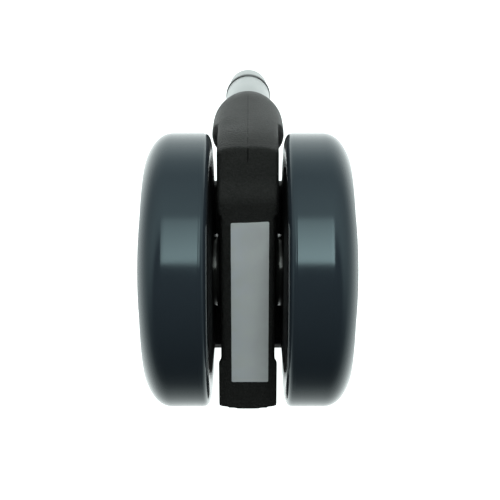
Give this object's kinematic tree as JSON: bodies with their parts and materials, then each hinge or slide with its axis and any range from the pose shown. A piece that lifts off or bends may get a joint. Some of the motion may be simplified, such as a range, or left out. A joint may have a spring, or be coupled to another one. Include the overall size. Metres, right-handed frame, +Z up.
{
  "type": "chair caster wheel",
  "caption": "Swivel twin-wheel chair caster with soft treads, a moulded body with a central web and hood, and a plain stem with a snap-in grip ring.",
  "frame": {"origin": "on the stem's axis, level with the top of the body's boss", "axes": "+Z up along the stem, +X along the axle to the right wheel, +Y back from the stem to the axle, which trails it"},
  "size_m": [0.0476, 0.0612, 0.092],
  "materials": {
    "zinc_steel": "bright zinc plate with fine turning lines",
    "spring_steel": "dark oiled spring steel",
    "black_nylon": "fine moulded texture, satin",
    "guard_nylon": "smooth moulded",
    "core_nylon": "moulded, dark grey",
    "tread_urethane": "dark blue-grey soft polyurethane, glossy",
    "cover_plastic": "dark grey, fine spark texture",
    "bush_acetal": "natural acetal",
    "label_film": "blank grey film"
  },
  "bodies": {
    "stem_unit": {"stem": "zinc_steel", "grip_ring": "spring_steel"},
    "swivel_frame": {"swivel_body": "black_nylon", "stem_bush": "bush_acetal", "stem_clip": "spring_steel", "thrust_disc": "zinc_steel", "underside_label": "label_film", "axle": "zinc_steel", "thread_guard_left": "guard_nylon", "thread_guard_right": "guard_nylon", "hub_washer_left": "bush_acetal", "hub_washer_right": "bush_acetal", "axle_clip_left": "spring_steel", "axle_clip_right": "spring_steel"},
    "left_wheel": {"tread_left": "tread_urethane", "wheel_core_left": "core_nylon", "wheel_bush_left": "bush_acetal", "wheel_cover_left": "cover_plastic"},
    "right_wheel": {"tread_right": "tread_urethane", "wheel_core_right": "core_nylon", "wheel_bush_right": "bush_acetal", "wheel_cover_right": "cover_plastic"}
  },
  "joints": [
    {"name": "swivel", "type": "hinge", "parent": "stem_unit", "child": "swivel_frame", "pos_m": [0, 0, 0], "axis": [0, 0, 1], "continuous": true},
    {"name": "left_wheel_spin", "type": "hinge", "parent": "swivel_frame", "child": "left_wheel", "pos_m": [-0.014, 0.022, -0.039], "axis": [1, 0, 0], "continuous": true},
    {"name": "right_wheel_spin", "type": "hinge", "parent": "swivel_frame", "child": "right_wheel", "pos_m": [0.014, 0.022, -0.039], "axis": [1, 0, 0], "continuous": true}
  ]
}
